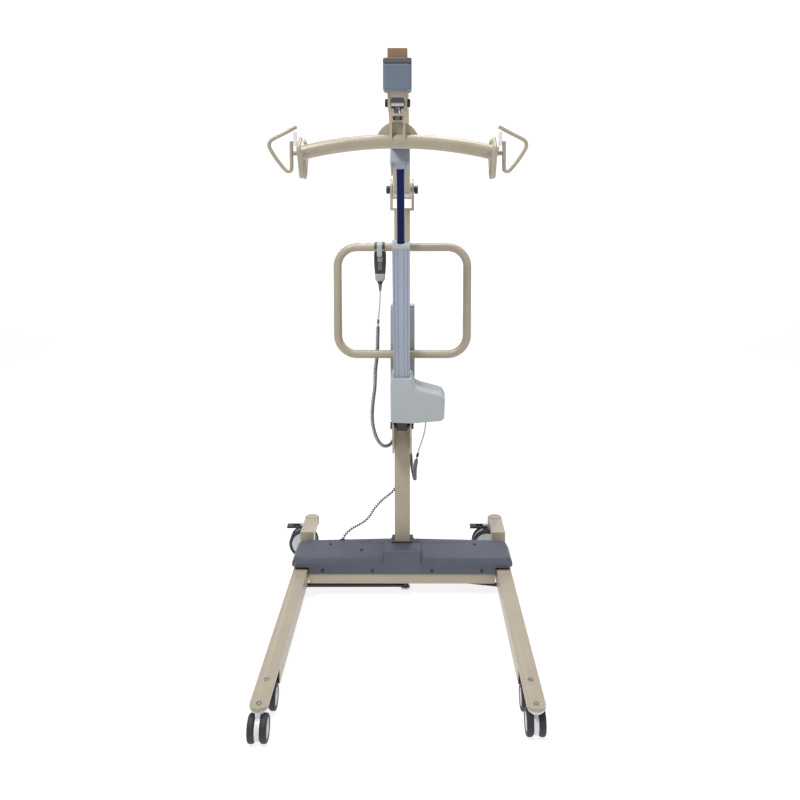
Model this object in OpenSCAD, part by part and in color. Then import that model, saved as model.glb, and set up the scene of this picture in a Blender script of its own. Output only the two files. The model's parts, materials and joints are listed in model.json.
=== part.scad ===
// Powered patient lift hoist: wheeled base with spreading legs, mast, lifting boom, actuator
// and a six-point hanger bar. The origin is on the floor below the mast; -Y is the patient's side.

/* [Legs and base] */
// Half the distance between the two leg centre lines
leg_x = 326; // [300:1:340]
// Width of a leg tube
leg_w = 45; // [40:1:48]
// Underside of a leg tube above the floor
leg_bottom = 38; // [36:1:40]
// Top of a leg tube above the floor
leg_top = 86; // [84:1:86]
// Y of the leading caster's stem
lead_y = -829; // [-860:1:-815]
// Y of the second caster's stem
second_y = -728; // [-735:1:-700]
// Y of the rear caster's stem
rear_y = 220; // [200:1:240]
// Y where the long lower tube of a leg ends at the front
tube_front_y = -666; // [-668:1:-600]
// Half the width of the base cover
cover_x = 355; // [348:1:360]
// Top of the base cover
cover_top = 124; // [118:1:130]

/* [Mast and handle] */
// Side of the square mast tube
mast_w = 50; // [50:1:50]
// Height of the boom pivot above the floor
pivot_z = 1300; // [1290:1:1310]
// Half the width of the push handle between tube centres
handle_x = 212; // [180:1:230]
// Height of the push handle's lower tube
handle_low_z = 761; // [740:1:780]
// Height of the push handle's upper tube
handle_high_z = 1114; // [1090:1:1140]
// Outer diameter of the push handle tube
handle_d = 27; // [22:1:28]

/* [Boom and hanger] */
// Upward slope of the boom at rest, in degrees
boom_slope = 19.2; // [15:0.1:22]
// Length of the boom from its pivot to its end post
boom_len = 738; // [700:1:740]
// Height of the hanger pin
hanger_z = 1490; // [1488:1:1494]
// Y of the hanger pin
hanger_y = -725; // [-730:1:-720]
// Centre height of the hanger bar at its middle
bar_z = 1402; // [1400:1:1404]
// Radius of the arch of the hanger bar
bar_arc_r = 960; // [900:10:1100]
// Half the width of the hanger bar's tube
bar_x = 232; // [225:1:240]
// Diameter of the hanger bar's tube
bar_d = 34; // [30:1:36]

/* [Lift actuator] */
// Height of the actuator's lower pin
lower_pin_z = 552; // [548:1:556]
// Forward offset of the actuator's lower pin from the mast axis
lower_pin_y = -75; // [-78:1:-72]
// Forward tilt of the actuator at rest, in degrees
lift_tilt = 18.2; // [17.8:0.1:18.6]
// Distance between the actuator's two ends at rest
lift_len = 865; // [862:1:870]
// Length from the lower pin to the top of the aluminium tube
tube_top = 612; // [600:1:613]
// Diameter of the piston rod
rod_d = 22.5; // [20:0.5:24]

/* [Casters] */
// Diameter of the front wheels
front_wheel_d = 66; // [60:1:66]
// Diameter of the rear wheels
rear_wheel_d = 100; // [90:1:100]

/* [Cords] */
// Diameter of the plain cords
cord_d = 5; // [4:0.5:6]
// Outer diameter of the curly cords
curl_d = 13; // [10:1:14]

/* [Hidden] */
$fn = 64;

tan_paint = [0.71, 0.67, 0.58];
grey_light = [0.72, 0.74, 0.76];
grey_blue = [0.37, 0.40, 0.47];
black = [0.12, 0.12, 0.13];
steel = [0.62, 0.63, 0.65];
fit = 0.05;

// Base
wall = 2.5;
beam_half = 292;
front_beam_y = -96.5;
front_beam_w = 40;
plate_t = 4;
plate_gap = 0.5;
pivot_r = 8;
floor_plate_z = leg_top + 5;
flange_t = 6;
crank_y = -50;
crank_r = 40;
crank_rest = 15.5;
crank_z = 22;
link_z = 29;
link_t = 6;
tie_y = -91;
tie_pin_r = 6;
tie_slack = 1.7;
anchor = [-95, 40];
lug = [-288, 48];
spread_z = 63;
rear_low = 117;
rear_top = 142;
cover_front = -100;
cover_rear = 59;
cover_bottom = 72;
cover_t = 3;

// Mast, handle and handset
head_z = 1240;
ear_t = 8;
ear_x = 30;
handle_y = 41.5;
handle_bend = 63.5;
handset_x = -74;
handset_y = 71;
handset_top = 1100;
handset_low = 1000;
box_y = 60;
box_d = 66;
box_low = 650;
box_split = 760;
box_high = 919;

// Boom local frame: distance r along the boom, height h above its centre line
anchor_r = 350;
post_w = 45;
post_y = -748;
post_d = 45;
post_low = 1473.5;
post_high = 1605;

// Hanger
spine_x = 249;
gusset_top = 1448;
arc_half = asin(bar_x / bar_arc_r);

// Casters
lead_trail = 14;
rear_trail = 30;
pedal_x = 33;
pedal_z = 107;
head_gap = 0.5;

// Cord routes, each point a ring centre
handset_tail_route = [[-74, 71, 968], [-74.5, 71, 955], [-75, 71, 940], [-76, 71, 925],
    [-77, 71, 910], [-78.5, 71, 895], [-80, 71, 880], [-81, 71, 866]];
handset_curl_route = [[-81, 71, 866], [-82, 71, 845], [-83, 71, 810], [-84, 71, 775],
    [-87, 71, 735], [-91, 71, 700], [-92, 71, 665], [-94, 70, 635], [-98, 68, 605],
    [-101, 66, 575], [-102, 64, 545], [-100, 63, 518], [-94, 62, 492], [-86, 62, 470],
    [-74, 62, 452], [-58, 63, 444], [-42, 66, 450], [-30, 70, 468], [-24, 75, 495],
    [-21, 80, 530], [-20, 85, 570], [-20, 89, 610], [-20, 90, 638]];
motor_tail_route = [[75, -75.5, 566], [75, -74.5, 557], [74.5, -73.5, 547], [73, -72.5, 536],
    [70.5, -71.5, 524], [67, -70.5, 511], [62.5, -69.5, 497], [57.5, -68.5, 482], [52.5, -67.5, 466],
    [49, -67, 452]];
motor_curl_route = [[49, -67, 452], [45, -60, 430], [42, -50, 407], [41, -38, 384],
    [41, -21, 365], [41, 0, 354], [39, 20, 354], [35, 38, 366], [30, 52, 390],
    [26, 64, 425], [22, 74, 470], [21, 82, 520], [20, 88, 570], [20, 90, 610], [20, 90, 638]];
leg_lead_route = [[0, 90, 638], [0, 88, 600], [0, 82, 555], [-1, 74, 505], [-3, 65, 455],
    [-6, 57, 405], [-11, 50, 355], [-20, 46, 318], [-34, 44, 295], [-50, 44, 281],
    [-66, 44, 268], [-82, 44, 252], [-97, 45, 233], [-110, 46, 212], [-124, 47, 195],
    [-142, 48, 182], [-162, 49, 171], [-180, 50, 158], [-194, 50, 143], [-202, 50, 128], [-203, 50, 112]];

// ---------- shared shapes ----------

// Rectangular tube along Z, hollow when t is positive
module tube_z(w, d, h, t = 0) {
    difference() {
        translate([-w / 2, -d / 2, 0]) cube([w, d, h]);
        if (t > 0) translate([-w / 2 + t, -d / 2 + t, -1]) cube([w - 2 * t, d - 2 * t, h + 2]);
    }
}

// Box between two corners
module span(a, b) {
    translate(a) cube(b - a);
}

// Cylinder along X, centred on x
module bar_along_x(r, len) {
    rotate([0, 90, 0]) cylinder(r = r, h = len, center = true);
}

// Cylinder along Y, centred on y
module bar_along_y(r, len) {
    rotate([90, 0, 0]) cylinder(r = r, h = len, center = true);
}

// Flat bar of thickness t between two plan points, with round ends of width w and holes ra and rb
module link(a, b, w, t, ra, rb) {
    len = norm(b - a);
    translate([a[0], a[1], 0]) rotate([0, 0, atan2(b[1] - a[1], b[0] - a[0])]) difference() {
        union() {
            translate([0, 1.5 - w / 2, 0]) cube([len, w - 3, t]);
            cylinder(r = w / 2, h = t);
            translate([len, 0, 0]) cylinder(r = w / 2, h = t);
        }
        translate([0, 0, -1]) cylinder(r = ra, h = t + 2);
        translate([len, 0, -1]) cylinder(r = rb, h = t + 2);
    }
}

// Unit vector of v
function unit(v) = v / norm(v);
// Direction of a route at its point i
function heading(p, i) = unit(p[min(i + 1, len(p) - 1)] - p[max(i - 1, 0)]);
// Ring of n points of radius r round point i of a route
function ring(p, i, r, n, side) =
    let (t = heading(p, i), s = unit(cross(t, side)), u = cross(t, s))
    [for (k = [0 : n - 1]) p[i] + r * (cos(360 * k / n) * s + sin(360 * k / n) * u)];

// Tube swept along a route, closed at both ends; side is a direction that the route never takes
module cord(p, r, n, side = [0.12, 1, 0.07]) {
    rings = len(p);
    sides = [for (i = [0 : rings - 2], k = [0 : n - 1]) let (m = (k + 1) % n)
        [i * n + k, i * n + m, (i + 1) * n + m, (i + 1) * n + k]];
    first = [for (k = [0 : n - 1]) n - 1 - k];
    last = [for (k = [0 : n - 1]) (rings - 1) * n + k];
    polyhedron([for (i = [0 : rings - 1]) each ring(p, i, r, n, side)], concat([first], sides, [last]));
}

// ---------- base ----------

module base_frame() color(tan_paint) {
    difference() {
        union() {
            // main beam below the mast, and the front beam
            difference() {
                span([-beam_half, -25, leg_bottom], [beam_half, 25, leg_top]);
                span([-beam_half - 1, -22, leg_bottom + 3], [beam_half + 1, 22, leg_top - 3]);
            }
            difference() {
                span([-298, front_beam_y, 40], [298, front_beam_y + front_beam_w, leg_top]);
                span([-299, front_beam_y + wall, 40 + wall],
                     [299, front_beam_y + front_beam_w - wall, leg_top - wall]);
            }
            for (s = [-1, 1]) {
                // bar that joins the two beams, and beam end plates
                span([s * 215 - 20, front_beam_y + front_beam_w - 1, 44], [s * 215 + 20, -24, 80]);
                span([s * 290 - 2, -24, leg_bottom + 1], [s * 290 + 2, 24, leg_top - 1]);
                span([s * 296 - 2, front_beam_y + 1, 41], [s * 296 + 2, front_beam_y + 39, leg_top - 1]);
                // clevis plates above and below the leg
                for (z = [leg_top + plate_gap, leg_bottom - plate_gap - plate_t]) {
                    translate([0, 0, z]) {
                        span([min(s * 235, s * leg_x), -24, 0], [max(s * 235, s * leg_x), 24, plate_t]);
                        translate([s * leg_x, 0, 0]) cylinder(r = 24, h = plate_t);
                    }
                }
                span([s * 262 - 25, -24, leg_top - 1], [s * 262 + 25, 24, leg_top + 1]);
                span([s * 262 - 25, -24, leg_bottom - 1], [s * 262 + 25, 24, leg_bottom + 1]);
            }
            // foot plate for the mast and plate for the crank
            span([-48, -48, leg_top - 1], [48, 48, floor_plate_z]);
            span([-40, front_beam_y + front_beam_w - 1, 40], [40, -24, 46]);
            // bracket that anchors the leg actuator
            span([anchor[0] - 16, 24, 44], [anchor[0] + 16, anchor[1] + 14, 49]);
        }
        for (s = [-1, 1]) translate([s * leg_x, 0, 20]) cylinder(r = pivot_r + fit, h = 80);
        for (x = [-36, 36], y = [-36, 36]) translate([x, y, 80]) cylinder(r = 4.9, h = 12);
        translate([0, crank_y, 30]) cylinder(r = 6 + fit, h = 30);
        translate([anchor[0], anchor[1], 40]) cylinder(r = 4 + fit, h = 12);
    }
}

module mast() color(tan_paint) {
    difference() {
        union() {
            translate([0, 0, floor_plate_z]) tube_z(mast_w, mast_w, head_z - floor_plate_z, 3);
            // foot flange and head
            difference() {
                translate([0, 0, floor_plate_z]) tube_z(94, 94, flange_t);
                translate([0, 0, floor_plate_z - 1]) tube_z(44, 44, flange_t + 2);
            }
            span([-ear_x - ear_t, -27, head_z - 6], [ear_x + ear_t, 27, head_z + 2]);
            for (s = [-1, 1]) {
                translate([s * (ear_x + ear_t / 2), 0, 0]) {
                    span([-ear_t / 2, -27, head_z - 6], [ear_t / 2, 27, pivot_z]);
                    translate([0, 0, pivot_z]) bar_along_x(34, ear_t);
                }
                // plates that hold the lift actuator
                translate([s * 28, 0, 0]) {
                    span([-3, lower_pin_y - 5, lower_pin_z - 90], [3, 10, lower_pin_z]);
                    translate([0, lower_pin_y, lower_pin_z - 12]) bar_along_x(34, 6);
                }
            }
            // saddles for the handle and arms for the control box
            for (z = [handle_low_z, handle_high_z]) span([-18, 24, z - 10], [18, 34, z + 10]);
            for (z = [700, 850]) span([-15, 24, z - 20], [15, box_y - 0.5, z + 20]);
        }
        for (x = [-36, 36], y = [-36, 36]) translate([x, y, 80]) cylinder(r = 5.2, h = 30);
        for (z = [handle_low_z, handle_high_z]) {
            translate([0, handle_y, z]) bar_along_x(handle_d / 2 + 0.02, 60);
            translate([0, 25, z]) bar_along_y(4.1, 30);
        }
        translate([0, 0, pivot_z]) bar_along_x(pivot_r + fit, 100);
        translate([0, lower_pin_y, lower_pin_z]) bar_along_x(pivot_r, 100);
    }
}

module mast_collar() color(black)
    difference() {
        union() {
            translate([0, 0, cover_top]) tube_z(76, 72, 16);
            translate([0, 0, cover_top + 16]) tube_z(70, 66, 11);
        }
        translate([0, 0, cover_top - 1]) tube_z(mast_w + 0.2, mast_w + 0.2, 50);
        span([-62, -60, cover_top - 1], [62, -25.2, 149]);
    }

// Plan outline of the cover, drawn in by t
module cover_plan(t) {
    x = cover_x;
    y0 = cover_front;
    y1 = cover_rear;
    cut = 14;
    polygon([[-x + t, y0 + cut], [-x + cut, y0 + t], [x - cut, y0 + t], [x - t, y0 + cut],
             [x - t, y1 - cut - 8], [x - cut, y1 - t], [-x + cut, y1 - t], [-x + t, y1 - cut - 8]]);
}

module base_cover() color(grey_blue)
    difference() {
        union() {
            translate([0, 0, cover_bottom]) linear_extrude(cover_top - cover_bottom) cover_plan(0);
            span([-60, cover_front, cover_bottom], [60, -25.2, 148]);
        }
        translate([0, 0, cover_bottom - 1])
            linear_extrude(cover_top - cover_bottom - cover_t + 1) cover_plan(cover_t);
        span([-57, cover_front + cover_t, cover_bottom - 1], [57, -28.2, 145]);
        // opening for the mast, notches over the legs and the cord's hole
        translate([0, 0, 100]) tube_z(mast_w + 1, mast_w + 1, 60);
        for (s = [-1, 1]) {
            span([min(s * 299, s * 360), -110, 60], [max(s * 299, s * 360), 70, 94]);
            span([min(s * 282, s * 360), 10, 60], [max(s * 282, s * 360), 70, 94]);
        }
        translate([-203, 50, 110]) cylinder(r = 7.5, h = 20);
        for (x = [-255, -95, 95, 255]) translate([x, cover_front, 84]) bar_along_y(2.2, 20);
        for (p = [[-240, 16], [-134, -30], [240, 16]]) translate([p[0], p[1], 110]) cylinder(r = 2.2, h = 20);
    }

module cover_screws() color(black) {
    for (x = [-255, -95, 95, 255]) translate([x, cover_front, 84]) {
        translate([0, -1.25, 0]) bar_along_y(5, 2.5);
        translate([0, 1, 0]) bar_along_y(2, 4.4);
    }
    for (p = [[-240, 16], [-134, -30], [240, 16]]) translate([p[0], p[1], cover_top]) {
        cylinder(r = 5, h = 2.5);
        translate([0, 0, -11]) cylinder(r = 2, h = 12);
    }
}

module frame_bolts() color(steel) {
    for (s = [-1, 1]) translate([s * leg_x, 0, 0]) {
        translate([0, 0, 28]) cylinder(r = pivot_r, h = leg_top + plate_gap + plate_t + 2 - 28);
        translate([0, 0, 28]) cylinder(r = 12, h = leg_bottom - plate_gap - plate_t - 28);
    }
    for (x = [-36, 36], y = [-36, 36]) translate([x, y, floor_plate_z + flange_t]) {
        cylinder(r = 8.5, h = 6, $fn = 6);
        translate([0, 0, -12]) cylinder(r = 4.85, h = 13);
    }
    translate([0, crank_y, 15]) cylinder(r = 6, h = 34);
    translate([0, crank_y, 15]) cylinder(r = 10, h = crank_z - 15.3);
    translate([anchor[0], anchor[1], 40]) cylinder(r = 4, h = 40);
    for (z = [handle_low_z, handle_high_z]) {
        translate([0, 34, z]) bar_along_y(4, 40);
        translate([0, handle_y + handle_d / 2 + 2.5, z]) bar_along_y(7, 4.6);
    }
    // lower pin of the lift actuator
    translate([0, lower_pin_y, lower_pin_z]) {
        bar_along_x(pivot_r, 70);
        for (s = [-1, 1]) translate([s * 34, 0, 0]) bar_along_x(12, 6);
    }
}

// ---------- legs ----------

module leg(s) color(tan_paint)
    translate([s * leg_x, 0, 0]) difference() {
        union() {
            difference() {
                span([-leg_w / 2, tube_front_y, leg_bottom], [leg_w / 2, 130, leg_top]);
                span([-leg_w / 2 + wall, tube_front_y - 1, leg_bottom + wall],
                     [leg_w / 2 - wall, 131, leg_top - wall]);
            }
            // top plate that carries the two front casters
            span([-leg_w / 2, lead_y, leg_top - 8], [leg_w / 2, tube_front_y + 60, leg_top]);
            translate([0, lead_y, leg_top - 8]) cylinder(r = leg_w / 2, h = 8);
            // end walls of the tube
            span([-leg_w / 2 + 1, tube_front_y, leg_bottom + 1],
                 [leg_w / 2 - 1, tube_front_y + 3, leg_top - 1]);
            span([-leg_w / 2 + 1, 127, leg_bottom + 1], [leg_w / 2 - 1, 130, leg_top - 1]);
            // bush for the pivot bolt, spacer and raised rear tube
            translate([0, 0, leg_bottom]) cylinder(r = 14, h = leg_top - leg_bottom);
            span([-leg_w / 2, 74, leg_top - 1], [leg_w / 2, 122, rear_low + 1]);
            difference() {
                span([-leg_w / 2, 74, rear_low], [leg_w / 2, rear_y, rear_top]);
                span([-leg_w / 2 + wall, 76, rear_low + wall],
                     [leg_w / 2 - wall, rear_y + 1, rear_top - wall]);
            }
            translate([0, rear_y, rear_low - 1]) cylinder(r = 25, h = rear_top - rear_low - 1);
            translate([0, rear_y, rear_top - 3]) cylinder(r = 22, h = 4);
            // pin for the tie bar, and on the left leg the lug of the leg actuator
            translate([0, tie_y, 26]) cylinder(r = tie_pin_r, h = 14);
            if (s < 0) {
                span([leg_w / 2 - 1, lug[1] - 9, 72], [lug[0] + leg_x + 6, lug[1] + 8, 78]);
                translate([lug[0] + leg_x, lug[1], 72]) cylinder(r = 10, h = 6);
                translate([lug[0] + leg_x, lug[1], 55]) cylinder(r = 5, h = 20);
            }
        }
        translate([0, 0, leg_bottom - 1]) cylinder(r = pivot_r + fit, h = 60);
        translate([0, lead_y, leg_top - 20]) cylinder(r = 5.1, h = 30);
        translate([0, second_y, leg_top - 20]) cylinder(r = 5.1, h = 30);
        translate([0, rear_y, rear_low - 10]) cylinder(r = 8 + fit, h = 25);
    }

module left_leg() leg(-1);
module right_leg() leg(1);

module caster_bolts(s) color(steel)
    for (y = [lead_y, second_y]) translate([s * leg_x, y, leg_top]) {
        cylinder(r = 6.5, h = 2.5);
        translate([0, 0, -19]) cylinder(r = 5, h = 20);
    }

module left_caster_bolts() caster_bolts(-1);
module right_caster_bolts() caster_bolts(1);

// ---------- leg-spreading linkage ----------

// Plan position of the crank's pin on side s: -1 is the front pin, 1 the rear one
function crank_pin(s) = [-s * crank_r * sin(crank_rest), crank_y + s * crank_r * cos(crank_rest)];

module crank() color(steel) {
    for (s = [-1, 1]) {
        translate([0, 0, crank_z]) link([0, crank_y], crank_pin(s), 30, link_t, 6 + fit, 4);
        translate([crank_pin(s)[0], crank_pin(s)[1], crank_z + 1]) cylinder(r = tie_pin_r, h = 13);
    }
}

module tie(s) color(steel)
    translate([0, 0, link_z])
        link([s * leg_x, tie_y], crank_pin(s), 22, link_t, tie_pin_r + fit, tie_pin_r + tie_slack);

module left_tie() tie(-1);
module right_tie() tie(1);

// Direction of the leg actuator, from its anchor to the lug of the left leg
spread_dir = unit(lug - anchor);
spread_len = norm(lug - anchor);
spread_angle = atan2(spread_dir[1], spread_dir[0]);

module along_spread() translate([anchor[0], anchor[1], spread_z]) rotate([0, 0, spread_angle]) children();

module spread_actuator() color(black)
    along_spread() difference() {
        union() {
            cylinder(r = 13, h = 18, center = true);
            span([6, -9, -13], [54, 12, 40]);
            translate([84, 0, 0]) bar_along_x(10, 62);
        }
        cylinder(r = 4 + fit, h = 40, center = true);
        translate([85, 0, 0]) bar_along_x(7 + fit, 70);
    }

module spread_rod() color(steel)
    along_spread() difference() {
        union() {
            translate([(66 + spread_len) / 2, 0, 0]) bar_along_x(7, spread_len - 66);
            translate([spread_len, 0, 0]) cylinder(r = 11, h = 13, center = true);
        }
        translate([spread_len, 0, 0]) cylinder(r = 5.6, h = 20, center = true);
    }

// ---------- push handle, control box and handset ----------

// Closed rounded loop in the XZ plane made from a tube of radius r
module handle_loop(r) {
    mid = (handle_low_z + handle_high_z) / 2;
    half = (handle_high_z - handle_low_z) / 2;
    straight_x = handle_x - handle_bend;
    straight_z = half - handle_bend;
    translate([0, handle_y, mid]) rotate([90, 0, 0]) {
        for (s = [-1, 1]) {
            translate([0, s * half, 0]) bar_along_x(r, 2 * straight_x);
            translate([s * handle_x, 0, 0]) rotate([90, 0, 0])
                cylinder(r = r, h = 2 * straight_z, center = true);
        }
        for (k = [0 : 3]) {
            a = 90 * k;
            x = (k == 0 || k == 3) ? straight_x : -straight_x;
            y = (k < 2) ? straight_z : -straight_z;
            translate([x, y, 0]) rotate([0, 0, a])
                rotate_extrude(angle = 90) translate([handle_bend, 0]) circle(r = r, $fn = 32);
        }
    }
}

module push_handle() color(tan_paint)
    difference() {
        handle_loop(handle_d / 2);
        handle_loop(handle_d / 2 - 2);
        for (z = [handle_low_z, handle_high_z]) translate([0, handle_y, z]) bar_along_y(4.1, 60);
    }

module control_box() color(grey_light)
    difference() {
        union() {
            span([-40, box_y, box_low], [40, box_y + box_d, box_split - 0.3]);
            span([-40, box_y, box_split - 1], [40, box_y + 12, box_high - 8]);
            // sockets for the three cords
            for (x = [-20, 0, 20]) translate([x, 90, box_low - 12]) cylinder(r = 8, h = 13);
        }
        translate([0, box_y + box_d + 1, 700]) bar_along_y(8.3, 30);
    }

module battery_pack() color(grey_light)
    difference() {
        span([-40, box_y + 12.3, box_split], [40, box_y + box_d + 4, box_high]);
        for (s = [-1, 1]) span([s * 41 - 4, box_y + 40, 870], [s * 41 + 4, box_y + 60, 905]);
    }

module emergency_stop() color([0.75, 0.1, 0.08])
    translate([0, box_y + box_d, 700]) {
        translate([0, -1.5, 0]) bar_along_y(8, 15);
        translate([0, 10, 0]) bar_along_y(15, 8);
    }

// Light grey inner case: hook over the handle tube, back and lower end
module handset_core() color(grey_light)
    difference() {
        union() {
            translate([handset_x, handle_y, handle_high_z]) bar_along_x(handle_d / 2 + 4.2, 30);
            span([handset_x - 15, handle_y + 13.7, handset_top - 30],
                 [handset_x + 15, handle_y + 17.7, handle_high_z]);
            span([handset_x - 15, handle_y + 13.7, handset_low + 4],
                 [handset_x + 15, handset_y + 6, handset_top - 8]);
            span([handset_x - 18, handset_y - 11, handset_low], [handset_x + 18, handset_y + 11, 1024]);
            translate([handset_x, handset_y, handset_low - 10]) cylinder(r = 9, h = 11);
        }
        translate([handset_x, handle_y, handle_high_z]) bar_along_x(handle_d / 2 + 0.2, 60);
        // open underside of the hook, so that it lifts off the tube
        span([handset_x - 30, handle_y - handle_d / 2 - 0.2, handle_high_z - 30],
             [handset_x + 30, handle_y + 13.7, handle_high_z]);
        span([handset_x - 30, handle_y - 30, handle_high_z - 30],
             [handset_x + 30, handle_y, handle_high_z - 12]);
    }

// Dark outer shell with the wells of the two rocker keys
module handset_shell() color(black)
    difference() {
        span([handset_x - 20, handset_y - 12, 1024.2], [handset_x + 20, handset_y + 13, handset_top]);
        span([handset_x - 15.2, handset_y - 30, 1000], [handset_x + 15.2, handset_y + 6.2, handset_top - 7.8]);
        span([handset_x - 15.2, handset_y - 30, 1000], [handset_x + 15.2, handset_y - 11.5, 1120]);
        for (z = [1046, 1076])
            span([handset_x - 13, handset_y + 7, z - 13], [handset_x + 13, handset_y + 20, z + 13]);
    }

module rocker(z) color(grey_light)
    translate([handset_x, handset_y + 11, z]) {
        span([-12, -1.5, -12], [12, 3, 12]);
        bar_along_x(2, 25);
    }

module lift_rocker() rocker(1076);
module legs_rocker() rocker(1046);

module handset_strain_relief() color(black)
    translate([handset_x, handset_y, 968]) {
        rotate_extrude() polygon([[0, 0], [4, 0], [6, 14], [7.5, 22], [0, 22]]);
    }

module handset_cord_tail() color(grey_light) cord(handset_tail_route, cord_d / 2, 8);
module handset_cord_curl() color(grey_light) cord(handset_curl_route, curl_d / 2, 10);
module motor_lead_tail() color(grey_light) cord(motor_tail_route, cord_d / 2, 8);
module motor_lead_curl() color(grey_light) cord(motor_curl_route, curl_d / 2, 10, [1, 0.1, 0.3]);
module leg_lead() color(grey_light) cord(leg_lead_route, 5, 10);

// ---------- lift actuator ----------

// Frame of the lift actuator: Z runs from its lower pin to its upper end
module along_lift() translate([0, lower_pin_y, lower_pin_z]) rotate([lift_tilt, 0, 0]) children();

module actuator_housing() color(grey_light)
    along_lift() difference() {
        union() {
            span([-17, -17, 0], [17, 17, 32]);
            bar_along_x(17, 34);
            // gear box and the motor beside it, as one outline
            translate([0, 32, 0]) rotate([90, 0, 0]) linear_extrude(64)
                polygon([[-36, 36], [-29, 27], [30, 24], [60, 28], [122, 33], [131, 44],
                         [133, 110], [125, 127], [62, 146], [44, 154], [37, 166], [36, 186],
                         [-34, 186], [-36, 178]]);
            // gland of the motor lead
            translate([75, 4, 14]) cylinder(r = 8, h = 16);
        }
        bar_along_x(pivot_r + fit, 80);
        translate([0, 0, 60]) cylinder(r = 13, h = 140);
        span([-25.3, -22.3, 178], [25.3, 22.3, 200]);
    }

// Grooved aluminium tube
module actuator_tube() color([0.66, 0.69, 0.74])
    along_lift() translate([0, 0, 178]) linear_extrude(tube_top - 178) difference() {
        square([50, 44], center = true);
        circle(r = 13);
        for (s = [-1, 1]) {
            translate([s * 25, 0]) square([6, 8], center = true);
            translate([s * 9, -22]) square([3, 3], center = true);
            translate([s * 19, -22]) square([2, 3], center = true);
        }
    }

module tube_end_cap() color(grey_light)
    along_lift() translate([0, 0, tube_top]) difference() {
        span([-25.5, -22.5, 0], [25.5, 22.5, 11]);
        translate([0, 0, -1]) cylinder(r = rod_d / 2 + fit, h = 20);
    }

module actuator_rod() color([0.55, 0.57, 0.62])
    along_lift() translate([0, 0, 440]) cylinder(r = rod_d / 2, h = lift_len - 18 - 440);

module rod_end() color(grey_light)
    along_lift() {
        span([-17, -17, lift_len - 18], [17, 17, lift_len]);
        translate([0, 0, lift_len]) bar_along_x(17, 34);
        translate([0, 0, lift_len]) bar_along_x(7, 42);
    }

// ---------- boom ----------

// Frame of the boom: X across, -Y along the boom, Z square to it
module along_boom() translate([0, 0, pivot_z]) rotate([-boom_slope, 0, 0]) children();

module boom_tube() color(tan_paint) {
    difference() {
        union() {
            along_boom() span([-25, -boom_len, -25], [25, -28, 25]);
            // end post with its two ears for the hanger pin
            span([-post_w / 2, post_y, post_low + 43], [post_w / 2, post_y + post_d, post_high]);
            for (s = [-1, 1]) span([s * 19.5 - 3, hanger_y - 18, post_low], [s * 19.5 + 3, hanger_y + 18, post_low + 44]);
            along_boom() span([-18, -34, -8], [18, -10, 8]);
            along_boom() bar_along_x(20, 57);
        }
        along_boom() {
            span([-22, -boom_len - 60, -22], [22, -46, 22]);
            span([-20, -anchor_r - 60, -40], [20, -anchor_r + 45, 0]);
            bar_along_x(pivot_r + fit, 80);
            difference() {
                bar_along_x(30.2, 70);
                bar_along_x(20, 80);
                span([-18, -40, -8], [18, 0, 8]);
            }
        }
        span([-post_w / 2 + 3, post_y + 3, post_low + 49], [post_w / 2 - 3, post_y + post_d - 3, post_high + 1]);
        translate([0, hanger_y, hanger_z]) bar_along_x(6 + fit, 80);
    }
}

module boom_channel() color(grey_light)
    along_boom() difference() {
        span([-27, -anchor_r - 52, -69], [27, -anchor_r + 50, -25.2]);
        span([-22.5, -anchor_r - 47, -80], [22.5, -anchor_r + 60, -20]);
    }

module boom_pad() color([0.47, 0.52, 0.58])
    difference() {
        span([-34, post_y - 24, 1509], [34, post_y + 36, 1587]);
        span([-post_w / 2 - 0.2, post_y - 0.2, 1500], [post_w / 2 + 0.2, post_y + 60, 1620]);
        along_boom() span([-25.3, -boom_len - 10, -25.3], [25.3, -28, 25.3]);
    }

module boom_end_cap() color([0.45, 0.33, 0.22])
    span([-post_w / 2, post_y, post_high], [post_w / 2, post_y + post_d, post_high + 8]);

module pivot_hub() color([0.9, 0.9, 0.9])
    along_boom() difference() {
        bar_along_x(30, 58);
        bar_along_x(20, 80);
        span([-18.2, -40, -8.2], [18.2, 0, 8.2]);
    }

module boom_bolts() color(black) {
    along_boom() {
        bar_along_x(pivot_r, 100);
        for (s = [-1, 1]) translate([s * 44.8, 0, 0]) bar_along_x(13, 12);
    }
    translate([0, hanger_y, hanger_z]) {
        bar_along_x(6, 58);
        for (s = [-1, 1]) translate([s * 26.2, 0, 0]) bar_along_x(9.5, 7);
    }
}

// ---------- hanger ----------

module swivel_eye() color(steel)
    translate([0, hanger_y, hanger_z]) difference() {
        union() {
            bar_along_x(13, 30);
            translate([0, 0, -24]) cylinder(r = 9, h = 18);
            translate([0, 0, -40]) cylinder(r = 7, h = 20);
            translate([0, 0, -39.5]) cylinder(r = 11, h = 8, $fn = 6);
        }
        bar_along_x(6 + fit, 60);
    }

// Bent strap that hangs on the swivel and straddles the gusset
module hanger_yoke() color(tan_paint)
    translate([0, hanger_y, 0]) difference() {
        union() {
            span([-18, -18, hanger_z - 31], [18, 18, hanger_z - 25]);
            for (s = [-1, 1]) span([s * 15.5 - 2.5, -18, 1400], [s * 15.5 + 2.5, 18, hanger_z - 30]);
        }
        translate([0, 0, hanger_z - 45]) cylinder(r = 7 + fit, h = 30);
        span([-20, -3.1, 1390], [20, 3.1, gusset_top + 0.3]);
        translate([0, 0, bar_z - bar_arc_r]) rotate([90, 0, 0])
            rotate_extrude() translate([bar_arc_r, 0]) circle(r = bar_d / 2 + 0.02, $fn = 48);
    }

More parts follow.
